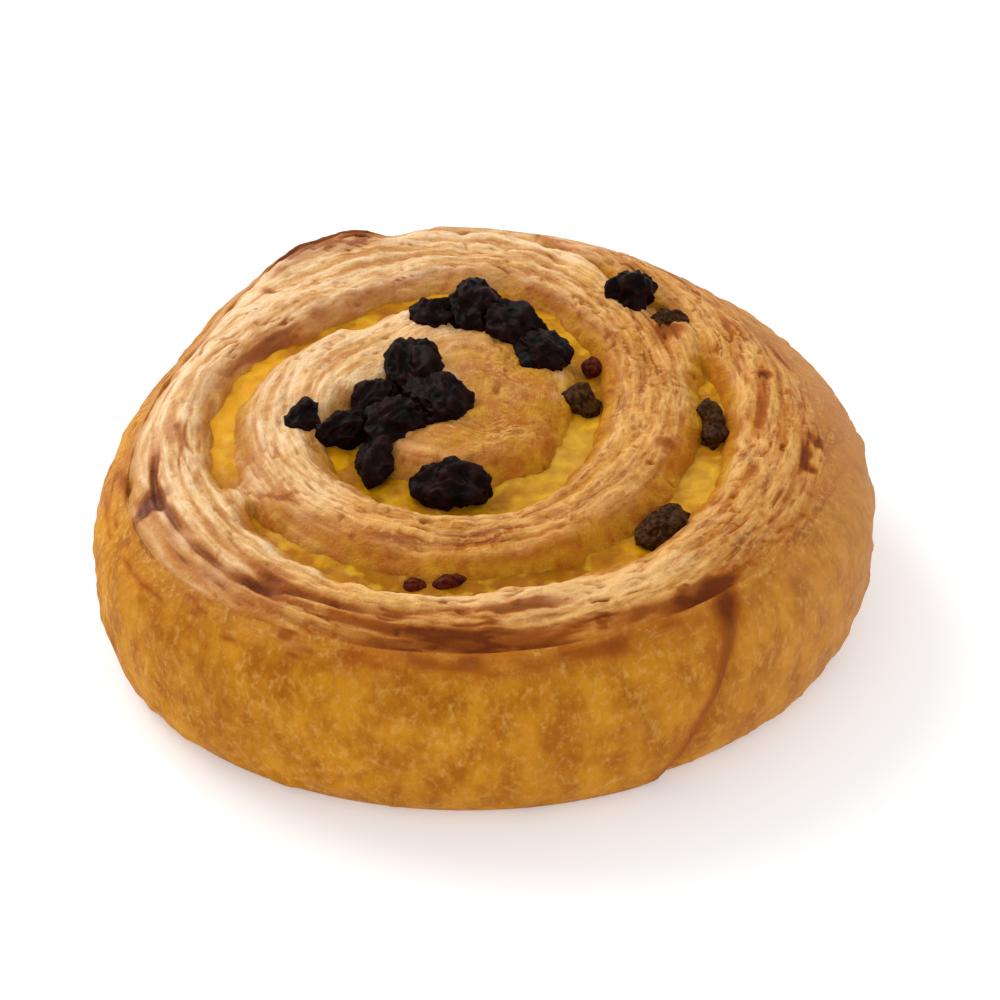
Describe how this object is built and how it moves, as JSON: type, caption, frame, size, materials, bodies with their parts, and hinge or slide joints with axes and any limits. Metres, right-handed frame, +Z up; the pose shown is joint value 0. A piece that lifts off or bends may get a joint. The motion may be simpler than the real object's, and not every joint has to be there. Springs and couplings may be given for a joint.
{
  "type": "round pain suisse",
  "caption": "Round coiled pastry of flaky laminated dough with a spiral of baked custard and raisins on top.",
  "frame": {"origin": "middle of the outline on the flat base", "axes": "+Z up, out of the coiled top; the picture looks along +Y and down, with +X to its right"},
  "size_m": [0.1035, 0.1084, 0.0311],
  "materials": {
    "crust": "satin",
    "custard": "satin",
    "raisin": "satin"
  },
  "bodies": {
    "root": {"dough": "crust", "custard": "custard", "raisin_1": "raisin", "raisin_2": "raisin", "raisin_3": "raisin", "raisin_4": "raisin", "raisin_5": "raisin", "raisin_6": "raisin", "raisin_7": "raisin", "raisin_8": "raisin", "raisin_9": "raisin", "raisin_10": "raisin", "raisin_11": "raisin", "raisin_12": "raisin", "raisin_13": "raisin", "raisin_14": "raisin", "raisin_15": "raisin", "raisin_16": "raisin", "raisin_17": "raisin", "raisin_18": "raisin", "raisin_19": "raisin", "raisin_20": "raisin"}
  },
  "joints": []
}
